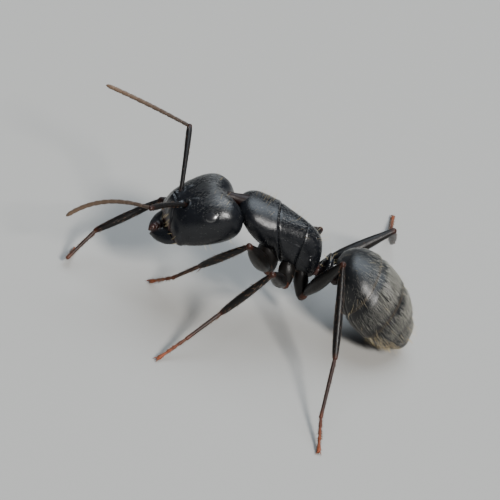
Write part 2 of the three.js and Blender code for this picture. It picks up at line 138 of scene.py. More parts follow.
# A jaw's sections: outer x and y, inner x and y, middle height, half thickness.
JAW = [
    (0.9, -1.16, 0.3, -1.2, -0.12, 0.24),
    (0.97, -1.28, 0.22, -1.3, -0.12, 0.3),
    (1.0, -1.55, 0.16, -1.44, -0.12, 0.3),
    (0.9, -1.82, 0.1, -1.6, -0.1, 0.27),
    (0.7, -2.03, 0.07, -1.76, -0.08, 0.22),
    (0.48, -2.17, 0.045, -1.94, -0.06, 0.18),
    (0.26, -2.25, 0.04, -2.1, -0.04, 0.12),
    (0.14, -2.29, 0.1, -2.27, -0.04, 0.03),
]
TOOTH_LENGTH, TOOTH_WAVES = 0.055, 8   # waves along a whole jaw, of which five are teeth
GASTER_STATIONS = [
    (GASTER_FRONT, 0.0, 0.12, 0.08),
    (-2.25, 0.5, 0.52, -0.2),
    (-1.95, 1.0, 0.88, -0.42),
    (-1.5, 1.4, 1.16, -0.68),
    (-0.9, 1.66, 1.32, -1.02),
    (-0.2, GASTER_WIDTH / 2, 1.4, 1.4 - GASTER_DEPTH),
    (0.4, 1.71, 1.36, -1.1),
    (0.95, 1.56, 1.24, -0.99),
    (1.45, 1.28, 1.02, -0.8),
    (1.9, 0.9, 0.74, -0.56),
    (2.25, 0.5, 0.4, -0.3),
    (GASTER_TAIL, 0.0, 0.02, -0.02),
]
# Each hind edge of a gaster plate: where it crosses the axis, and how far its top leans back.
TERGITE_EDGES = [(-0.85, -0.3), (0.5, -0.24), (1.4, -0.05), (1.85, 0.08)]
TERGITE_HEIGHT, TERGITE_OVERLAP = 1.2, 0.16
HALF_PATCH = 0.0015          # half the width of a hair's patch on the unwrap
SEAM = 0.004                 # half the gap left between trunk rings
FLOOR_GAP = 0.003            # hairs that would come nearer to the floor than this are left out

POINT_SIZE, MERGE_REACH = 1e-6, 1e-5   # rings smaller than the first are a point; closer corners merge

RNG = np.random.default_rng(11)


# ---------- small helpers ----------
def unit(v):
    v = np.asarray(v, float)
    return v / (np.linalg.norm(v, axis=-1, keepdims=True) + 1e-12)


def bell(x, width):
    return np.exp(-(x / width) ** 2)


def smooth(low, high, x):
    t = np.clip((np.asarray(x, float) - low) / (high - low), 0, 1)
    return t * t * (3 - 2 * t)


def turn_x(angle):
    c, s = math.cos(math.radians(angle)), math.sin(math.radians(angle))
    return np.array([[1, 0, 0], [0, c, -s], [0, s, c]])


def turn_z(angle):
    c, s = math.cos(math.radians(angle)), math.sin(math.radians(angle))
    return np.array([[c, -s, 0], [s, c, 0], [0, 0, 1]])


class Place:
    """A body part's own frame: left, back and up, set into the ant's frame."""

    def __init__(self, turn, origin):
        self.turn, self.origin = turn, np.asarray(origin, float)

    def out(self, points):
        return np.asarray(points, float) @ self.turn.T + self.origin


TRUNK = Place(turn_x(-TRUNK_PITCH), (0, 0, TRUNK_HEIGHT))
HEAD = Place(turn_z(HEAD_TURN) @ turn_x(HEAD_NOD), HEAD_CENTRE)
GASTER = Place(turn_x(-GASTER_DROOP), GASTER_CENTRE)
WORLD = Place(np.eye(3), (0, 0, 0))


def direction(course, side):
    """The way a limb part points, from its sweep and lift, on the left (1) or right (-1) side."""
    sweep, lift = (math.radians(a) for a in course)
    level = math.cos(lift)
    return np.array([side * level * math.cos(sweep), -level * math.sin(sweep), math.sin(lift)])


def station_curve(stations, y):
    """Smooth values between listed stations, at each y."""
    table = np.array(stations)
    places = table[:, 0]
    y = np.asarray(y, float)
    k = np.clip(np.searchsorted(places, y), 1, len(places) - 1)
    a, b = table[k - 1], table[k]
    previous, following = table[np.maximum(k - 2, 0)], table[np.minimum(k + 1, len(places) - 1)]
    span = (b[:, 0] - a[:, 0])[:, None]
    t = np.clip((y[:, None] - a[:, :1]) / span, 0, 1)
    slope_a = (b - previous) / np.maximum((b - previous)[:, :1], 1e-6) * span
    slope_b = (following - a) / np.maximum((following - a)[:, :1], 1e-6) * span
    t2, t3 = t * t, t * t * t
    values = a * (2 * t3 - 3 * t2 + 1) + b * (3 * t2 - 2 * t3)
    values = values + slope_a * (t3 - 2 * t2 + t) + slope_b * (t3 - t2)
    return values[:, 1:]


def ring_angles(sides):
    return np.arange(sides) * 2 * np.pi / sides


def loft_at(stations, y, angle, square):
    """Points on a lofted body at depth y and angle round it; angle 0 is the left side, 90 the top.

    Square 2 gives oval sections, and a higher value boxier ones.
    """
    half, top, bottom = station_curve(stations, y).T
    c, s = np.cos(angle), np.sin(angle)
    x = half * np.sign(c) * np.abs(c) ** (2 / square)
    z = (top + bottom) / 2 + (top - bottom) / 2 * np.sign(s) * np.abs(s) ** (2 / square)
    return np.stack([x, y, z], -1)


def eased(first, last, steps):
    """Places from first to last that crowd together at both ends."""
    return first + (last - first) * (0.5 - 0.5 * np.cos(np.pi * np.linspace(0, 1, steps + 1)))


def loft_grid(stations, rings, sides, square):
    """A grid of points over a lofted body, from its front end to its hind end and round by angle."""
    depths = eased(stations[0][0], stations[-1][0], rings)
    yy, aa = np.meshgrid(depths, ring_angles(sides), indexing="ij")
    return loft_at(stations, yy.ravel(), aa.ravel(), square).reshape(rings + 1, sides, 3)


def is_point(ring):
    return np.ptp(ring, 0).max() < POINT_SIZE


def grid_normals(grid):
    """Outward normals of a grid that runs from front to back and round by angle."""
    around = np.roll(grid, -1, 1) - np.roll(grid, 1, 1)
    along = np.gradient(grid, axis=0)
    normal = unit(np.cross(around, along))
    core = grid.mean(1, keepdims=True)
    flip = np.sign(((grid - core) * normal).sum(-1, keepdims=True).mean())
    normal = normal * (flip if flip else 1)
    for end, inner in ((0, 1), (-1, -2)):
        if is_point(grid[end]):
            normal[end] = unit(grid[end].mean(0) - grid[inner].mean(0))
    return normal


def grid_faces(rings, sides):
    faces = []
    for r in range(rings - 1):
        for i in range(sides):
            j = (i + 1) % sides
            faces.append((r * sides + i, r * sides + j, (r + 1) * sides + j, (r + 1) * sides + i))
    return faces


def grid_bmesh(grid):
    """A closed bmesh of a grid whose first and last rings are each a point or a flat end."""
    rings, sides = grid.shape[:2]
    bm = bmesh.new()
    verts = [bm.verts.new(p) for p in grid.reshape(-1, 3)]
    for face in grid_faces(rings, sides):
        bm.faces.new([verts[i] for i in face])
    for end in (0, rings - 1):
        if not is_point(grid[end]):
            bm.faces.new(verts[end * sides:(end + 1) * sides])
    bmesh.ops.remove_doubles(bm, verts=bm.verts, dist=MERGE_REACH)
    bmesh.ops.recalc_face_normals(bm, faces=bm.faces)
    return bm


def set_in_scene(name, data):
    made = bpy.data.objects.new(name, data)
    bpy.context.scene.collection.objects.link(made)
    return made


def finish_piece(name, bm, material, nodes, place=WORLD, ruddy=None):
    """Sets a closed shape built in a body part's frame into the scene, in metres, with its rusty mask."""
    mesh = bpy.data.meshes.new(name)
    bm.to_mesh(mesh)
    bm.free()
    points = np.empty(len(mesh.vertices) * 3)
    mesh.vertices.foreach_get("co", points)
    points = points.reshape(-1, 3)
    if ruddy is not None:
        attribute = mesh.attributes.new("ruddy", "FLOAT", "POINT")
        attribute.data.foreach_set("value", np.asarray(ruddy(points), np.float32))
    points = (place.out(points) - MIDDLE) * MM
    mesh.vertices.foreach_set("co", points.ravel())
    mesh.update()
    mesh.shade_smooth()
    piece = set_in_scene(name, mesh)
    mesh.materials.append(material)
    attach(piece, "root")
    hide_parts(*nodes)


# The solids stand over the middle of their footprint. The left eye, whose middle is known, gives the shift.
eye_low, eye_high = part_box("eye_left")
MIDDLE = HEAD.out(EYE_PLACE) - np.array((eye_low + eye_high) / 2) / MM
MIDDLE[2] = 0


# ---------- finishes ----------
class Finish:
    """A material whose Principled shader takes plain numbers on its own sockets and masks by link."""

    def __init__(self, name, **sockets):
        self.material = bpy.data.materials.new(name)
        self.material.use_nodes = True
        self.tree = self.material.node_tree
        self.shader = self.tree.nodes["Principled BSDF"]
        for socket, value in sockets.items():
            self.shader.inputs[socket.replace("_", " ")].default_value = value
        self.object_space = self.node("ShaderNodeTexCoord").outputs["Object"]

    def node(self, kind, **settings):
        made = self.tree.nodes.new(kind)
        for name, value in settings.items():
            setattr(made, name, value)
        return made

    def join(self, source, target):
        self.tree.links.new(source, target)

    def group(self, tree, **values):
        made = self.node("ShaderNodeGroup", node_tree=tree)
        for name, value in values.items():
            made.inputs[name.replace("_", " ")].default_value = value
        self.join(self.object_space, made.inputs["Place"])
        return made

    def blend(self, factor, low, high):
        """A colour that runs from low to high with the factor."""
        mix = self.node("ShaderNodeMix", data_type="RGBA")
        self.join(factor, mix.inputs["Factor"])
        for socket, value in (("A", low), ("B", high)):
            target = next(s for s in mix.inputs if s.name == socket and s.type == "RGBA")
            if isinstance(value, tuple):
                target.default_value = (*value, 1)
            else:
                self.join(value, target)
        return next(s for s in mix.outputs if s.type == "RGBA")

    def raise_from(self, height, distance, strength):
        bump = self.node("ShaderNodeBump")
        bump.inputs["Strength"].default_value = strength
        bump.inputs["Distance"].default_value = distance
        self.join(height, bump.inputs["Height"])
        self.join(bump.outputs["Normal"], self.shader.inputs["Normal"])

    def mask(self, name):
        return self.node("ShaderNodeAttribute", attribute_name=name).outputs["Fac"]


def group_tree(name, inputs, outputs):
    """An empty node group with named number inputs, besides the place, and named outputs."""
    tree = bpy.data.node_groups.new(name, "ShaderNodeTree")
    tree.interface.new_socket("Place", in_out="INPUT", socket_type="NodeSocketVector")
    for label, value in inputs.items():
        socket = tree.interface.new_socket(label, in_out="INPUT", socket_type="NodeSocketFloat")
        socket.default_value = value
    for label in outputs:
        tree.interface.new_socket(label, in_out="OUTPUT", socket_type="NodeSocketFloat")
    return tree, tree.nodes.new("NodeGroupInput"), tree.nodes.new("NodeGroupOutput")


def netting_group():
    """Fine leathery netting of an ant's shell: tight cells, uneven gloss and slow drifts of tone."""
    tree, given, made = group_tree(
        "fine_netting", {"Cells per metre": 22000.0, "Unevenness": 0.12, "Base roughness": 0.34},
        ("Height", "Roughness", "Tone"))
    link = tree.links.new

    def texture(kind, **settings):
        node = tree.nodes.new(kind)
        for socket, value in settings.items():
            node.inputs[socket].default_value = value
        link(given.outputs["Place"], node.inputs["Vector"])
        return node

    def arithmetic(operation, *terms):
        node = tree.nodes.new("ShaderNodeMath")
        node.operation = operation
        for k, term in enumerate(terms):
            if isinstance(term, float):
                node.inputs[k].default_value = term
            else:
                link(term, node.inputs[k])
        return node.outputs[0]

    cells = texture("ShaderNodeTexVoronoi")
    cells.feature = "DISTANCE_TO_EDGE"
    link(given.outputs["Cells per metre"], cells.inputs["Scale"])
    drift = texture("ShaderNodeTexNoise", Scale=1800, Detail=6)
    grain = texture("ShaderNodeTexNoise", Scale=42000, Detail=3)
    height = arithmetic("MULTIPLY_ADD", grain.outputs["Fac"], 0.6, cells.outputs["Distance"])
    centred = arithmetic("SUBTRACT", drift.outputs["Fac"], 0.5)
    rough = arithmetic("MULTIPLY_ADD", centred, given.outputs["Unevenness"], given.outputs["Base roughness"])
    link(height, made.inputs["Height"])
    link(rough, made.inputs["Roughness"])
    link(drift.outputs["Fac"], made.inputs["Tone"])
    return tree


NETTING = netting_group()


NETTING_DEPTH = 7e-6         # metres


def shell_finish(name, dark, bright, rust, rough, ior, cells=20000):
    """Shell that is dark, a little paler in drifts, and rusty where the ruddy mask says."""
    made = Finish(name, Roughness=rough, IOR=ior)
    net = made.group(NETTING, Cells_per_metre=cells, Unevenness=0.3, Base_roughness=rough)
    tone = made.blend(net.outputs["Tone"], dark, bright)
    made.join(made.blend(made.mask("ruddy"), tone, rust), made.shader.inputs["Base Color"])
    made.join(net.outputs["Roughness"], made.shader.inputs["Roughness"])
    made.raise_from(net.outputs["Height"], NETTING_DEPTH, 0.8)
    return made.material


SHELL = shell_finish("satin_black_shell", (0.002, 0.0023, 0.003), (0.005, 0.0056, 0.0076),
                     (0.07, 0.018, 0.008), rough=0.27, ior=1.43)
GASTER_SHELL = shell_finish("hind_shell", (0.003, 0.0033, 0.0038), (0.007, 0.0074, 0.0084),
                            (0.07, 0.045, 0.02), rough=0.34, ior=1.43)
LIMB_SHELL = shell_finish("limb_shell", (0.003, 0.0028, 0.0027), (0.007, 0.0058, 0.0052),
                          (0.12, 0.028, 0.011), rough=0.34, ior=1.3, cells=30000)
NECK_SKIN = shell_finish("neck_skin", (0.001, 0.0008, 0.0008), (0.003, 0.0012, 0.001),
                         (0.022, 0.004, 0.002), rough=0.36, ior=1.3)
FOOT_SHELL = shell_finish("foot_shell", (0.01, 0.006, 0.005), (0.018, 0.009, 0.007),
                          (0.26, 0.06, 0.018), rough=0.46, ior=1.34, cells=36000)
FEELER_SHELL = shell_finish("feeler_shell", (0.012, 0.009, 0.008), (0.024, 0.017, 0.013),
                            (0.13, 0.085, 0.055), rough=0.5, ior=1.36, cells=36000)


def eye_finish():
    """Black, finely faceted and wet-looking."""
    made = Finish("compound_eye", Roughness=0.28, Coat_Weight=1.0, IOR=1.7, Coat_Roughness=0.16)
    facets = made.node("ShaderNodeTexVoronoi", feature="F1")
    facets.inputs["Scale"].default_value = 38000
    made.join(made.object_space, facets.inputs["Vector"])
    made.join(made.blend(facets.outputs["Distance"], (0.009, 0.009, 0.01), (0.003, 0.003, 0.004)),
              made.shader.inputs["Base Color"])
    made.raise_from(facets.outputs["Distance"], 2.5e-6, 0.5)
    return made.material


def hair_finish(name, pale, deep):
    """Hair whose colour drifts from pale to deep over the body."""
    made = Finish(name, Roughness=0.38, IOR=1.5)
    drift = made.node("ShaderNodeTexNoise")
    drift.inputs["Scale"].default_value = 2500
    made.join(made.object_space, drift.inputs["Vector"])
    made.join(made.blend(drift.outputs["Fac"], pale, deep), made.shader.inputs["Base Color"])
    return made.material


EYE = eye_finish()
GOLD_HAIR = hair_finish("golden_hair", (0.46, 0.38, 0.23), (0.3, 0.24, 0.13))
SILVER_HAIR = hair_finish("silver_down", (0.32, 0.31, 0.265), (0.14, 0.135, 0.115))
DUST_HAIR = hair_finish("dark_down", (0.17, 0.17, 0.165), (0.07, 0.07, 0.065))
SPINE = hair_finish("leg_bristle", (0.16, 0.09, 0.045), (0.05, 0.025, 0.015))


# ---------- trunk ----------
def push(grid, amount):
    """The grid moved outward by the amount at each point."""
    return grid + grid_normals(grid) * np.asarray(amount)[..., None]


def plane_distance(points, plane):
    return (points - np.array(plane[0])) @ unit(plane[1])


def line_distance(y, z, a, b):
    """Distance from a line through a and b in the side view, and how far along it, 0 to 1."""
    (ya, za), (yb, zb) = a, b
    length = math.hypot(yb - ya, zb - za)
    ey, ez = (yb - ya) / length, (zb - za) / length
    share = ((y - ya) * ey + (z - za) * ez) / length
    return (z - za) * ey - (y - ya) * ez, share


def trunk_relief(grid):
    """Seams and swellings of the trunk: neck plates, side plates and the breathing holes."""
    x, y, z = grid[..., 0], grid[..., 1], grid[..., 2]
    flank = smooth(0.25, 0.5, np.abs(x))
    pronotal, metanotal = plane_distance(grid, PRONOTAL_SUTURE), plane_distance(grid, METANOTAL_SUTURE)
    # the two seams between the rings, the hind one faint on top
    amount = -0.045 * bell(pronotal, 0.035) - (0.012 + 0.018 * flank) * bell(metanotal, 0.035)
    amount = amount + 0.03 * smooth(-0.3, -0.05, pronotal) * (pronotal < 0)
    # lower edge of the pronotum, running down and back to the fore leg
    d, share = line_distance(y, z, (-2.2, 0.12), (-0.72, -0.6))
    inside = smooth(-0.1, 0.05, share) * (1 - smooth(0.95, 1.1, share))
    amount = amount - inside * (0.05 * bell(d, 0.04) + 0.1 * smooth(0.0, -0.12, d)) * (pronotal < 0.1)
    # the side plate of the middle ring stands proud of its back plate
    middle = smooth(0.0, 0.12, pronotal) * smooth(0.0, -0.12, metanotal)
    d, _ = line_distance(y, z, (-0.9, 0.42), (0.7, 0.3))
    amount = amount - middle * flank * 0.035 * bell(d, 0.03)
    amount = amount + middle * flank * 0.05 * bell(z + 0.3, 0.35)
    # the lower seam of the hind ring
    d, _ = line_distance(y, z, (0.62, -0.25), (1.62, -0.62))
    hind = smooth(0.05, 0.15, metanotal)
    amount = amount - hind * flank * 0.035 * bell(d, 0.03)
    # the breathing hole in its raised rim
    hole = np.hypot(y - BREATHING_HOLE[0], z - BREATHING_HOLE[1])
    return amount + hind * flank * (0.03 * bell(hole - 0.09, 0.03) - 0.04 * bell(hole, 0.05))


def plate(grid, keep):
    """The part of a closed grid on the kept sides of planes [point, outward normal], closed again."""
    bm = grid_bmesh(grid)
    for point, outward in keep:
        geometry = bm.verts[:] + bm.edges[:] + bm.faces[:]
        bmesh.ops.bisect_plane(bm, geom=geometry, plane_co=point, plane_no=outward, clear_outer=True)
        rim = [e for e in bm.edges if e.is_boundary]
        bmesh.ops.edgeloop_fill(bm, edges=rim)
    bmesh.ops.recalc_face_normals(bm, faces=bm.faces)
    return bm


def behind(suture):
    """Keeps what lies behind a seam."""
    return tuple(np.array(suture[0]) + SEAM * unit(suture[1])), tuple(-unit(suture[1]))


def before(suture):
    """Keeps what lies before a seam."""
    return tuple(np.array(suture[0]) - SEAM * unit(suture[1])), tuple(unit(suture[1]))


trunk_grid = loft_grid(TRUNK_STATIONS, rings=170, sides=160, square=2.1)
trunk_grid = push(trunk_grid, trunk_relief(trunk_grid))
for name, keep in (
    ("pronotum", [before(PRONOTAL_SUTURE)]),
    ("mesothorax", [behind(PRONOTAL_SUTURE), before(METANOTAL_SUTURE)]),
    ("propodeum", [behind(METANOTAL_SUTURE)]),
):
    finish_piece(f"{name}_shell", plate(trunk_grid, keep), SHELL, [name], TRUNK,
                 ruddy=lambda p: 0.5 * bell(p[:, 1] - 1.75, 0.12) * (p[:, 2] < -0.3))


# ---------- head ----------
def head_relief(grid):
    """The face: forehead ridges, feeler pits, face plate with its keel, cheeks and throat line."""
    x, y, z = grid[..., 0], grid[..., 1], grid[..., 2]
    ax = np.abs(x)
    face = smooth(0.0, 0.25, z)
    ridge = 0.3 + 0.16 * smooth(-0.9, -0.1, y) + 0.03 * np.sin(y * 7)
    amount = face * 0.085 * bell(ax - ridge, 0.06) * smooth(-1.0, -0.8, y) * (1 - smooth(-0.3, 0.1, y))
    # lobes between the feelers, and the pit of each feeler
    lobe = bell(ax - 0.2, 0.24) * bell(y + 0.95, 0.34)
    amount = amount + face * 0.12 * lobe
    pit = np.hypot(ax - SOCKET[0], y - SOCKET[1])
    amount = amount - face * 0.12 * bell(pit, 0.13) + face * 0.035 * bell(pit - 0.2, 0.05)
    # face plate: a keeled shield that widens to the jaws
    edge = 0.3 + 0.42 * smooth(-0.85, -1.5, y)
    shield = smooth(edge + 0.02, edge - 0.05, ax) * smooth(-0.78, -0.86, y)
    amount = amount + face * (0.035 * shield + 0.045 * shield * bell(x, 0.07))
    amount = amount - face * 0.045 * bell(ax - edge - 0.02, 0.03) * smooth(-0.8, -0.9, y)
    amount = amount - face * 0.04 * bell(y + 0.82, 0.03) * smooth(0.34, 0.26, ax)
    amount = amount - face * 0.018 * bell(x, 0.02) * smooth(-0.8, -0.7, y) * (1 - smooth(-0.2, 0.1, y))
    # a fine groove round the eye
    eye = np.sqrt((ax - EYE_PLACE[0]) ** 2 + (y - EYE_PLACE[1]) ** 2 + (z - EYE_PLACE[2]) ** 2)
    amount = amount - 0.008 * bell(eye - EYE_RADIUS - 0.01, 0.02)
    # the throat: its line, and the hollow for the under-mouth
    throat = smooth(0.0, -0.25, z)
    amount = amount - throat * 0.03 * bell(x, 0.025) * smooth(-1.0, -0.8, y)
    amount = amount - throat * 0.12 * bell(ax, 0.32) * smooth(-0.75, -1.15, y)
    return amount


head_grid = loft_grid(HEAD_STATIONS, rings=220, sides=240, square=2.5)
hollow = bell(head_grid[..., 0], 0.55) * smooth(0.3 * LONG, 0.93 * LONG, head_grid[..., 1])
head_grid[..., 1] -= NAPE_HOLLOW * hollow
head_grid = push(head_grid, head_relief(head_grid))
finish_piece("head_capsule", grid_bmesh(head_grid), SHELL, ["head"], HEAD,
             ruddy=lambda p: 0.5 * bell(p[:, 1] + LONG, 0.1))


def lens(side):
    """An oval eye, domed out of the head's side."""
    pp, tt = np.meshgrid(np.linspace(0, np.pi, 25), ring_angles(48), indexing="ij")
    globe = np.stack([np.sin(pp) * np.cos(tt), np.sin(pp) * np.sin(tt), np.cos(pp)], -1)
    globe = globe * EYE_RADIUS * np.array(EYE_OVAL)
    tilt = math.radians(-side * EYE_TURN)
    c, s = math.cos(tilt), math.sin(tilt)
    globe = globe @ np.array([[c, 0, s], [0, 1, 0], [-s, 0, c]]).T
    return globe + np.array([side, 1, 1]) * EYE_PLACE


for word, side in SIDES:
    finish_piece(f"eye_{word}_lens", grid_bmesh(lens(side)), EYE, [f"eye_{word}"], HEAD)


def mandible(side):
    """A broad closed blade: rounded outside, fluted above, with five teeth along its inner edge."""
    steps, turns = 90, 40
    share = np.linspace(0, len(JAW) - 1, steps + 1)
    table = np.array([(k, *row) for k, row in enumerate(JAW)])
    out_x, out_y, in_x, in_y, middle, thick = station_curve(table, share).T[..., None]
    t = np.linspace(0, 1, steps + 1)[:, None]
    turn = ring_angles(turns)[None]
    outward = 0.5 + 0.5 * np.cos(turn)
    inner = (1 - outward) ** 4
    teeth = TOOTH_LENGTH * smooth(0.3, 0.36, t) * (1 - smooth(0.93, 0.97, t))
    teeth = teeth * (0.5 + 0.5 * np.sin(2 * np.pi * t * TOOTH_WAVES))
    x = in_x + (out_x - in_x) * outward + inner * teeth
    y = in_y + (out_y - in_y) * outward
    z = middle + thick * np.sin(turn) * (1 - 0.25 * inner)
    grid = np.stack([side * x, y, z], -1)
    flutes = 0.008 * np.sin(26 * outward) * smooth(0.15, 0.35, t) * (1 - smooth(0.85, 0.95, t))
    return grid + grid_normals(grid) * (flutes * np.sin(turn) ** 2)[..., None]


for word, side in SIDES:
    finish_piece(f"jaw_{word}", grid_bmesh(mandible(side)), SHELL, [f"mandible_{word}"], HEAD,
                 ruddy=lambda p: 0.3 * smooth(0.35, 0.1, np.abs(p[:, 0])))


# The pad of the under-mouth fills the space between the jaws' roots.
lip = loft_grid(UNDER_MOUTH_STATIONS, rings=40, sides=48, square=2)
fold = 0.03 * bell(lip[..., 0], 0.03) + 0.02 * bell(np.abs(lip[..., 0]) - 0.26, 0.03)
finish_piece("under_mouth", grid_bmesh(push(lip, -fold)), SHELL, ["head"], HEAD,
             ruddy=lambda p: np.full(len(p), 0.4))


# ---------- tubes: limbs, feelers, neck ----------
UP = (0, 0, 1)


def tube_grid(path, radii, sides):
    """A round tube along a path, with a radius at each step."""
    path, radii = np.asarray(path, float), np.asarray(radii, float)
    course = unit(np.gradient(path, axis=0))
    across = unit(np.cross(UP, course[0]))
    angle = ring_angles(sides)
    grid = np.empty((len(path), sides, 3))
    for k, point in enumerate(path):
        across = unit(across - course[k] * (across @ course[k]))
        rise = np.cross(course[k], across)
        ring = np.cos(angle)[:, None] * across + np.sin(angle)[:, None] * rise
        grid[k] = point + radii[k] * ring
    return grid


def bowed(a, b, steps, bow):
    """Points from a to b, bowed upward at the middle."""
    t = np.linspace(0, 1, steps)[:, None]
    side = unit(np.cross(UP, b - a))
    rise = unit(np.cross(b - a, side))
    return a + (b - a) * t + rise * bow * 4 * t * (1 - t)


def rounded(path, radii, steps=6):
    """The path and radii with a round cap added at each end."""
    for _ in range(2):
        r = radii[0]
        turn = np.linspace(0, np.pi / 2, steps + 1)[:-1]
        back = unit(path[0] - path[1])
        cap = path[0] + back * (r * np.cos(turn))[:, None]
        path, radii = np.concatenate([cap, path]), np.concatenate([r * np.sin(turn), radii])
        path, radii = path[::-1], radii[::-1]
    return path, radii


def rusty_ends(a, b, at_a, at_b, reach, over=0.0):
    """A mask that grows rusty towards either end of a limb."""
    def value(points):
        da, db = np.linalg.norm(points - a, axis=1), np.linalg.norm(points - b, axis=1)
        return np.clip(over + at_a * bell(da, reach) + at_b * bell(db, reach), 0, 1)
    return value


def limb(name, a, b, profile, material, nodes, mask, bow=0.0, steps=48, sides=28):
    """A round-ended length of limb from a to b, whose profile lists shares of its length and radii."""
    radii = station_curve(profile, np.linspace(0, 1, steps))[:, 0]
    grid = tube_grid(*rounded(bowed(a, b, steps, bow), radii), sides)
    finish_piece(name, grid_bmesh(grid), material, nodes, ruddy=mask)
    return grid


# ---------- hair ----------
class Coat:
    """Tapered solid hairs, joined into one mesh, each with a small patch of its own on the skin's unwrap."""

    def __init__(self):
        self.rows = []

    def grow(self, grid, count, weight, stray, lengths, radius, stand, bend, lie=1, unwrap=lambda spots: spots):
        """Hairs scattered over a grid: stand 0 lies along it and 1 stands out; lie -1 points forward."""
        roots, out, course, spots = scatter(grid, count, weight, stray, lie)
        self.add(roots, out, course, RNG.uniform(*lengths, count), radius, stand, bend, unwrap(spots))

    def add(self, roots, normals, lie, lengths, radius, stand, bend, spots):
        start = unit(lie * (1 - stand) + normals * stand)
        end = unit(start * (1 - bend) + lie * bend)
        radii = np.full(len(roots), radius)
        self.rows.append((roots, start, end, lengths, radii, normals, spots))

    def build(self, name, material, place=WORLD):
        roots, start, end, lengths, radii, normals, spots = (
            np.concatenate([row[k] for row in self.rows]) for k in range(7))
        across = unit(np.cross(start, normals + 1e-3))
        rise = np.cross(across, start)
        half, wide = lengths[:, None] * 0.5, radii[:, None]
        points = np.empty((len(roots), 7, 3))
        for i in range(3):
            turn = 2 * math.pi * i / 3
            spoke = (across * math.cos(turn) + rise * math.sin(turn)) * wide
            points[:, i] = roots - start * wide + spoke
            points[:, 3 + i] = roots + start * half + spoke * 0.8
        points[:, 6] = roots + start * half + end * half
        # hairs that would pass through the floor are left out
        clear = place.out(points)[..., 2].min(1) > FLOOR_GAP
        points, spots, n = points[clear], spots[clear], int(clear.sum())
        pattern = [(2, 1, 0)]
        for i in range(3):
            j = (i + 1) % 3
            pattern += [(i, j, 3 + j), (i, 3 + j, 3 + i), (3 + i, 3 + j, 6)]
        faces = (np.arange(n)[:, None, None] * 7 + np.array(pattern)[None]).reshape(-1, 3)
        mesh = bpy.data.meshes.new(name)
        where = (place.out(points.reshape(-1, 3)) - MIDDLE) * MM
        mesh.from_pydata(where.tolist(), [], faces.tolist())
        patch = np.array([(-1, 0), (1, 0), (0, 0.4), (-1, 1), (1, 1), (0, 1.4), (0, 2)]) * HALF_PATCH
        corner = np.repeat(spots, 7, 0) + np.tile(patch, (n, 1))
        layer = mesh.uv_layers.new(name="OFBake")
        layer.data.foreach_set("uv", corner[faces.ravel()].astype(np.float32).ravel())
        mesh.materials.append(material)
        piece = set_in_scene(name, mesh)
        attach(piece, "root")


def scatter(grid, count, weight, stray, lie):
    """Evenly strewn roots on a grid, with their normals, the way each hair lies, and its unwrap place."""
    normals = grid_normals(grid)
    rows, sides = grid.shape[:2]
    edge_a = np.linalg.norm(np.roll(grid, -1, 1)[:-1] - grid[:-1], axis=2)
    edge_b = np.linalg.norm(grid[1:] - grid[:-1], axis=2)
    area = edge_a * edge_b * weight[:-1]
    chance = (area / area.sum()).ravel()
    spread = (np.arange(count) + RNG.random(count)) / count
    picked = np.minimum(np.searchsorted(np.cumsum(chance), spread), len(chance) - 1)
    r, i = picked // sides, picked % sides
    fr, fi = RNG.random(count)[:, None], RNG.random(count)[:, None]
    j = (i + 1) % sides
    roots = ((grid[r, i] * (1 - fi) + grid[r, j] * fi) * (1 - fr)
             + (grid[r + 1, i] * (1 - fi) + grid[r + 1, j] * fi) * fr)
    out = unit(normals[r, i] * (1 - fr) + normals[r + 1, i] * fr)
    course = lie * unit(grid[r + 1, i] - grid[r, i])
    side = unit(np.cross(out, course))
    course = unit(course + side * RNG.normal(0, stray, count)[:, None])
    spots = np.concatenate([(i[:, None] + fi) / sides, (r[:, None] + fr) / rows], 1) * 0.96 + 0.02
    return roots, out, course, spots


# ---------- waist ----------
def leaf_grid():
    """The waist's upright scale: broad, thin towards a rounded crest."""
    # height, half width, half thickness
    stations = [(-0.46, 0.0, 0.0), (-0.42, 0.16, 0.16), (-0.3, 0.34, 0.26), (0, 0.44, 0.3), (0.3, 0.5, 0.27),
                (0.6, 0.51, 0.21), (0.82, 0.42, 0.15), (0.94, 0.24, 0.09), (0.98, 0.0, 0.0)]
    levels = eased(-0.46, 0.98, 60)
    wide, thick = station_curve(stations, levels).T
    angle = ring_angles(64)
    x = wide[:, None].clip(0) * np.cos(angle)
    y = thick[:, None].clip(0) * np.sin(angle)
    grid = np.stack([x, y, np.repeat(levels[:, None], 64, 1)], -1)
    return grid @ turn_x(-WAIST_SCALE_LEAN).T + np.array(WAIST_SCALE_FOOT)


leaf = leaf_grid()
finish_piece("waist_scale", grid_bmesh(leaf), SHELL, ["petiole"],
             ruddy=lambda p: 0.5 * bell(p[:, 2] - 2.1, 0.2))
limb("waist_stalk", WAIST_FRONT, WAIST_BACK, [(0, 0.27), (0.25, 0.22), (0.5, 0.28), (0.8, 0.2), (1, 0.26)],
     SHELL, ["petiole"], rusty_ends(WAIST_FRONT, WAIST_BACK, 0.9, 0.9, 0.25))

nape = HEAD.out((0, 0.72 * LONG, 0.32))
collar = TRUNK.out((0, -1.9, 0.5))
limb("neck_membrane", collar, nape, [(0, 0.36), (0.4, 0.29), (0.7, 0.22), (1, 0.17)],
     NECK_SKIN, ["neck"], rusty_ends(collar, nape, 0.1, 0.1, 0.5, over=0.16))


# ---------- hind body ----------
PLATE_ROWS, PLATE_SIDES = 70, 240


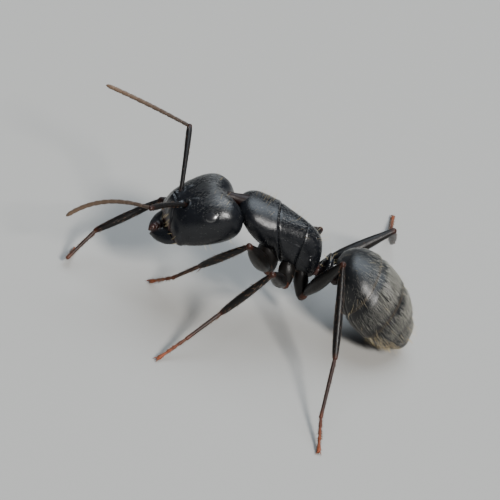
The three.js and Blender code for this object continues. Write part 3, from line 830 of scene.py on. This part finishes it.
def tergite(k):
    """One plate ring of the hind body; its front is tucked under the plate before it."""
    angle = ring_angles(PLATE_SIDES)
    lean = np.sin(angle) * TERGITE_HEIGHT
    front, rear = np.full(PLATE_SIDES, GASTER_FRONT), np.full(PLATE_SIDES, GASTER_TAIL)
    if k:
        front = TERGITE_EDGES[k - 1][0] + TERGITE_EDGES[k - 1][1] * lean - TERGITE_OVERLAP
    if k < 4:
        rear = TERGITE_EDGES[k][0] + TERGITE_EDGES[k][1] * lean
    share = np.linspace(0, 1, PLATE_ROWS + 1)
    if k == 0:
        share = 1 - np.cos(share * np.pi / 2)
    if k == 4:
        share = np.sin(share * np.pi / 2)
    y = front * (1 - share[:, None]) + rear * share[:, None]
    aa = np.broadcast_to(angle, y.shape)
    grid = loft_at(GASTER_STATIONS, y.ravel(), aa.ravel(), square=2).reshape(*y.shape, 3)
    amount = np.full(y.shape, -COAT_DEPTH)
    if k:
        amount = amount - 0.075 * (1 - smooth(0.12, 0.55, np.abs(y - front)))
    if k < 4:
        amount = amount + 0.024 * smooth(0.3, 0.02, np.abs(rear - y))
    # the line low on the side where the back plate folds over the belly plate
    level = np.sin(aa)
    amount = amount - 0.03 * bell(level + 0.62, 0.03) * (k < 4) + 0.012 * smooth(-0.6, -0.5, level)
    grid = push(grid, amount)
    if k < 4:
        # the hind edge rolls in and runs forward under itself, so that it shows a thickness
        core = grid[-1].mean(0)
        lip = np.stack([grid[-1] + (core - grid[-1]) * s for s in (0.012, 0.06)])
        lip[0, :, 1] += 0.006
        lip[1, :, 1] -= 0.1
        grid = np.concatenate([grid, lip])
    return grid


def hind_margin(k):
    """A mask that tints the hind edge of a plate, and the tip of the last one."""
    def value(points):
        if k == 4:
            return 0.6 * smooth(GASTER_TAIL - 0.2, GASTER_TAIL, points[:, 1])
        place, slant = TERGITE_EDGES[k]
        height = np.clip(points[:, 2] / TERGITE_HEIGHT, -1.1, 1.1)
        return 0.22 * smooth(-0.09, -0.04, points[:, 1] - place - slant * TERGITE_HEIGHT * height)
    return value


tergites = []
for k in range(5):
    grid = tergite(k)
    tergites.append(grid[:PLATE_ROWS + 1])
    finish_piece(f"hind_plate_{k + 1}", grid_bmesh(grid), GASTER_SHELL, [f"gaster_{k + 1}"], GASTER,
                 ruddy=hind_margin(k))


# ---------- legs ----------
spines = Coat()


def bristles(grid, count, length, radius, stand, low=0.05, high=0.95):
    """Bristles on a limb between two shares of its length."""
    share = np.linspace(0, 1, grid.shape[0])
    window = (smooth(low, low + 0.04, share) * (1 - smooth(high, high + 0.03, share)))[:, None]
    spines.grow(grid, count, np.broadcast_to(window, grid.shape[:2]), stray=0.25,
                lengths=(length * 0.7, length * 1.25), radius=radius, stand=stand, bend=0.3)


def claw_pair(name, tip, course, nodes):
    """Two hooked claws that reach forward and turn down to the floor."""
    bm = bmesh.new()
    level = unit(np.array([course[0], course[1], 0]))
    across = np.cross(level, UP)
    t = np.linspace(0, 1, 14)[:, None]
    rise = 0.05 * np.sin(np.pi * t * 0.9) - (tip[2] - CLAW_HEIGHT) * t ** 2
    for sense in (1, -1):
        outward = unit(level + across * sense * CLAW_SPREAD)
        path = tip + outward * CLAW_REACH * t + np.array(UP) * rise
        radii = 0.028 * (1 - t[:, 0]) ** 0.7 + 0.004
        claw = grid_bmesh(tube_grid(*rounded(path, radii, 3), 12))
        mesh = bpy.data.meshes.new("claw")
        claw.to_mesh(mesh)
        claw.free()
        bm.from_mesh(mesh)
        bpy.data.meshes.remove(mesh)
    finish_piece(name, bm, FOOT_SHELL, nodes, ruddy=lambda p: np.full(len(p), 0.6))


def build_leg(word, side, pair):
    """One leg, from the hip to the claws."""
    size, stance = LEG_SIZES[pair], STANCE[f"{word}_{pair}"]
    x, y, z = LEG_ROOTS[pair]
    name = f"{pair}_{word}"
    root = TRUNK.out((side * x, y, z))
    hip = root + direction(stance["coxa"], side) * size["coxa"]
    knee = hip + direction(stance["femur"], side) * size["femur"]
    shin = knee + direction(stance["tibia"], side) * size["tibia"]
    heel = shin + direction(stance["heel"], side) * size["heel"]
    drop = math.degrees(math.asin((FOOT_AXIS - heel[2]) / size["toes"]))
    toe = heel + direction((stance["toes"], drop), side) * size["toes"]
    toe = toe - unit(toe - heel) * TOE_CUT
    toe[2] = TOE_HEIGHT
    thigh = hip + (knee - hip) * TROCHANTER_LENGTH / size["femur"]
    wide, thick = size["coxa_radius"], size["femur_radius"]
    coxa = limb(f"coxa_{name}_shell", root, hip,
                [(0, wide * 0.6), (0.2, wide * 0.9), (0.45, wide), (0.75, wide * 0.82), (0.95, 0.2), (1, 0.16)],
                LIMB_SHELL, [f"coxa_{name}"], rusty_ends(root, hip, 0, 0.45, 0.15))
    limb(f"trochanter_{name}_shell", hip, thigh, [(0, 0.14), (0.5, 0.18), (1, 0.14)], FOOT_SHELL,
         [f"trochanter_{name}"], rusty_ends(hip, thigh, 0.1, 0.1, 0.2, over=0.06), steps=24)
    femur = limb(f"femur_{name}_shell", thigh, knee,
                 [(0, 0.11), (0.12, thick * 0.72), (0.35, thick), (0.65, thick * 0.86), (0.92, 0.145),
                  (1, 0.13)],
                 LIMB_SHELL, [f"femur_{name}"], rusty_ends(thigh, knee, 0.3, 0.55, 0.12))
    tibia = limb(f"tibia_{name}_shell", knee, shin,
                 [(0, 0.085), (0.05, 0.1), (0.2, 0.135), (0.6, 0.165), (0.93, 0.13), (1, 0.1)],
                 LIMB_SHELL, [f"tibia_{name}"], rusty_ends(knee, shin, 0.55, 0.5, 0.12))
    basal = limb(f"metatarsus_{name}_shell", shin, heel, [(0, 0.06), (0.1, 0.078), (0.85, 0.07), (1, 0.08)],
                 FOOT_SHELL, [f"tarsus_{name}"], rusty_ends(shin, heel, 0.05, 0.2, 0.25, over=0.02))
    # four short toe joints, rustier towards the claws
    for k in range(4):
        a, b = (heel + (toe - heel) * share for share in TOE_SHARES[k:k + 2])
        end = 0.084 if k == 3 else 0.072
        grid = limb(f"toe_{k + 1}_{name}", a, b, [(0, 0.04), (0.3, 0.052), (0.85, end), (1, 0.06)],
                    FOOT_SHELL, [f"tarsus_{name}"],
                    rusty_ends(a, b, 0.15, 0.2, 0.3, over=0.02 + 0.14 * k), steps=20, sides=20)
        bristles(grid, 40, length=0.11, radius=0.006, stand=0.5)
    claw_pair(f"claws_{name}", toe, toe - heel, [f"tarsus_{name}"])
    bristles(femur, 30, length=0.1, radius=0.0045, stand=0.4)
    bristles(tibia, 110, length=0.12, radius=0.0055, stand=0.38)
    bristles(basal, 110, length=0.11, radius=0.0055, stand=0.4)
    bristles(coxa, 10, length=0.2, radius=0.006, stand=0.7, low=0.3)
    # the spur at the shin's end
    course = unit(heel - shin)
    down = unit(np.array([0, 0, -1.0]) - course * -course[2])
    spur = shin + down * 0.08
    spines.add(spur[None], down[None], course[None], np.full(1, SPUR_LENGTH), SPUR_RADIUS,
               stand=0.25, bend=0.3, spots=np.array([[0.5, 0.98]]))


for word, side in SIDES:
    for pair in ("fore", "mid", "hind"):
        build_leg(word, side, pair)


# ---------- feelers ----------
def flagellum(word, elbow, tip, arch):
    """Eleven joints in a gentle bow, each a little wider at its far end."""
    steps = 30 * FLAGELLUM_JOINTS + 1
    t = np.linspace(0, 1, steps)
    cell = (t * FLAGELLUM_JOINTS) % 1
    core = 0.07 + 0.014 * smooth(0, 0.5, t)
    radii = core * (0.94 + 0.1 * smooth(0.0, 0.8, cell) - 0.2 * bell(cell - 1, 0.06) - 0.17 * bell(cell, 0.06))
    radii = radii * (1 - 0.35 * smooth(0.95, 1.0, t))
    grid = tube_grid(*rounded(bowed(elbow, tip, steps, arch), radii), 24)

    def tint(points):
        share = (points - elbow) @ unit(tip - elbow) / np.linalg.norm(tip - elbow)
        cell = (share * FLAGELLUM_JOINTS) % 1
        return np.clip(0.1 + 0.9 * share + 0.2 * bell(np.minimum(cell, 1 - cell), 0.08), 0, 1)

    finish_piece(f"flagellum_{word}_joints", grid_bmesh(grid), FEELER_SHELL, [f"flagellum_{word}"],
                 ruddy=tint)
    bristles(grid, 420, length=0.05, radius=0.003, stand=0.4, low=0.02, high=0.98)


for word, side in SIDES:
    feeler = FEELERS[word]
    x, y, z = SOCKET
    socket = HEAD.out((side * x, y, z))
    elbow = socket + direction(feeler["scape"], side) * SCAPE_LENGTH
    tip = elbow + direction(feeler["flagellum"], side) * FLAGELLUM_LENGTH
    grid = limb(f"scape_{word}_shell", socket, elbow,
                [(0, 0.1), (0.03, 0.08), (0.07, 0.085), (0.5, 0.1), (0.9, 0.12), (1, 0.1)],
                LIMB_SHELL, [f"scape_{word}"], rusty_ends(socket, elbow, 0.15, 0.25, 0.12), bow=0.1,
                steps=80)
    bristles(grid, 60, length=0.09, radius=0.005, stand=0.5)
    flagellum(word, elbow, tip, feeler["arch"])
spines.build("leg_bristles", SPINE)

# ---------- coats ----------
def hind_body_unwrap(k):
    """The five plates share one unwrap, each in a band of its own."""
    return lambda spots: spots * [1, 0.19] + [0, 0.2 * k]


def over_plate(along, around=1.0):
    """A weight for every point of a hind plate, from one along its length and one round it."""
    return np.asarray(along)[:, None] * np.broadcast_to(around, PLATE_SIDES)


height_round = np.sin(ring_angles(PLATE_SIDES))
side_round = np.cos(ring_angles(PLATE_SIDES))
share = np.linspace(0, 1, PLATE_ROWS + 1)

# how many hairs each hind plate has, and their length
SHORT_DOWN = [(700, 0.16), (1750, 0.26), (1250, 0.28), (450, 0.26), (120, 0.2)]
LONG_HAIR = [(18, 0.26), (20, 0.28), (26, 0.34), (40, 0.4), (34, 0.42)]

down = Coat()
for k, (count, length) in enumerate(SHORT_DOWN):
    # thin on the first plate's front, on the smooth hind edges and below
    fade = 0.25 + smooth(0.45, 0.95, share)
    if k:
        fade = (1 - 0.9 * smooth(0.74, 0.86, share)) * smooth(0.1, 0.4, share)
    weight = over_plate(fade, 0.12 + 0.88 * smooth(-0.5, 0.5, height_round))
    down.grow(tergites[k], count, weight, stray=0.05, lengths=(length * 0.75, length * 1.15),
              radius=0.0026, stand=0.1, bend=0.3, unwrap=hind_body_unwrap(k))
down.build("hind_down", SILVER_HAIR, GASTER)

long_hair = Coat()
for k, (count, length) in enumerate(LONG_HAIR):
    long_hair.grow(tergites[k], count, over_plate(smooth(0.8, 0.97, share) + 0.08), stray=0.15,
                   lengths=(length * 0.75, length * 1.2), radius=0.0048, stand=0.5, bend=0.4,
                   unwrap=hind_body_unwrap(k))
# a denser golden patch low on the sides of the third and fourth plates
low_side = bell(side_round - 0.9, 0.25) * (height_round < 0.1) + 1e-6
for k, count in ((2, 70), (3, 50)):
    long_hair.grow(tergites[k], count, over_plate(np.ones(PLATE_ROWS + 1), low_side), stray=0.3,
                   lengths=(0.22, 0.38), radius=0.0045, stand=0.35, bend=0.5, unwrap=hind_body_unwrap(k))
long_hair.build("hind_long_hair", GOLD_HAIR, GASTER)


def upper(grid, low, high):
    """How far each point of a grid faces up, from 0 at low to 1 at high."""
    return smooth(low, high, grid_normals(grid)[..., 2])


def fine_down(name, grid, count, weight, place):
    """Very short dark hairs pressed to the shell, which show only as a dusty bloom."""
    fine = Coat()
    fine.grow(grid, count, weight, stray=0.3, lengths=(0.05, 0.09), radius=0.003, stand=0.12, bend=0.5)
    fine.build(name, DUST_HAIR, place)


trunk_hair = Coat()
top, along = upper(trunk_grid, 0.45, 0.8), trunk_grid[..., 1]
bands = bell(along + 1.5, 0.35) + 0.7 * bell(along + 0.1, 0.4) + 1.6 * bell(along - 1.25, 0.35)
trunk_hair.grow(trunk_grid, 34, top ** 3 * bands, stray=0.5, lengths=(0.3, 0.46),
                radius=0.0055, stand=0.93, bend=0.12)
trunk_hair.build("trunk_hair", GOLD_HAIR, TRUNK)
fine_down("trunk_down", trunk_grid, 1200, 0.1 + top, TRUNK)

head_hair = Coat()
top, along = upper(head_grid, 0.5, 0.85), head_grid[..., 1]
crown = top * bell(along - 1.1, 0.35)
head_hair.grow(head_grid, 10, crown, stray=0.5, lengths=(0.2, 0.3), radius=0.006, stand=0.85, bend=0.2)
throat = (grid_normals(head_grid)[..., 2] < -0.7) * bell(along, 0.9)
head_hair.grow(head_grid, 12, throat, stray=0.4, lengths=(0.25, 0.36), radius=0.007, stand=0.8, bend=0.2)
face_edge = bell(along + 1.42, 0.1) * (head_grid[..., 2] > -0.3)
head_hair.grow(head_grid, 26, face_edge, stray=0.2, lengths=(0.2, 0.32), radius=0.0065, stand=0.35, bend=0.4,
               lie=-1)
head_hair.build("head_hair", GOLD_HAIR, HEAD)
fine_down("head_down", head_grid, 1500, 0.008 + top * smooth(-0.6, 1.1, along), HEAD)

waist_hair = Coat()
crest = (leaf[..., 2] > WAIST_SCALE_FOOT[2] + 0.5) * 1.0
waist_hair.grow(leaf, 14, crest, stray=0.2, lengths=(0.26, 0.4), radius=0.0055, stand=0.75, bend=0.2)
waist_hair.build("waist_hair", GOLD_HAIR)

# ---------- floor, lights and camera ----------
FLOOR_REACH = 1.2            # metres either way
FLOOR_COLOUR, ROOM_COLOUR, ROOM_STRENGTH = (0.3, 0.292, 0.275, 1), (0.78, 0.86, 1.0, 1), 0.11
LIGHT_AIM = (0, 0, 0.003)

floor_mesh = bpy.data.meshes.new("floor")
corners = [(x * FLOOR_REACH, y * FLOOR_REACH, 0) for x, y in ((-1, -1), (1, -1), (1, 1), (-1, 1))]
floor_mesh.from_pydata(corners, [], [(0, 1, 2, 3)])
floor = set_in_scene("floor", floor_mesh)
floor_finish = Finish("pale_floor", Roughness=0.8, IOR=1.5)
floor_finish.shader.inputs["Base Color"].default_value = FLOOR_COLOUR
floor_mesh.materials.append(floor_finish.material)

world = bpy.data.worlds.new("studio")
bpy.context.scene.world = world
world.use_nodes = True
room = world.node_tree.nodes["Background"]
room.inputs["Color"].default_value = ROOM_COLOUR
room.inputs["Strength"].default_value = ROOM_STRENGTH


def soft_light(name, towards, distance, size, energy, colour):
    """A square soft light standing off in a direction and facing the ant."""
    data = bpy.data.lights.new(name, "AREA")
    data.size, data.energy, data.color = size, energy, colour
    light = set_in_scene(name, data)
    way = unit(towards)
    light.location = way * distance + np.array(LIGHT_AIM)
    light.rotation_mode = "QUATERNION"
    light.rotation_quaternion = Vector(way).to_track_quat("Z", "Y")


soft_light("key", (0.64, 0.38, 0.64), distance=1.6, size=0.3, energy=48, colour=(1.0, 0.98, 0.95))
soft_light("sky", (-0.35, 0.1, 0.93), distance=1.4, size=1.4, energy=30, colour=(0.8, 0.9, 1.0))

CAMERA_RIGHT = np.array((-0.0921, 0.9651, 0.2452))
CAMERA_BACK = np.array((0.8367, -0.0585, 0.5446))
AIM = np.array((0.42, -1.28, 2.97))
FRAME_WIDTH = 19.53          # millimetres across the picture at the ant
LENS, SENSOR = 200, 36
camera_data = bpy.data.cameras.new("camera")
camera_data.lens, camera_data.sensor_width = LENS, SENSOR
camera_data.clip_start, camera_data.clip_end = 0.005, 10
camera = set_in_scene("camera", camera_data)
distance = FRAME_WIDTH * LENS / SENSOR
right = unit(CAMERA_RIGHT)
back = unit(CAMERA_BACK - right * (CAMERA_BACK @ right))
turn = np.eye(4)
turn[:3, 0], turn[:3, 1], turn[:3, 2] = right, np.cross(back, right), back
turn[:3, 3] = (AIM - MIDDLE + back * distance) * MM
camera.matrix_world = Matrix(turn.tolist())
bpy.context.scene.camera = camera
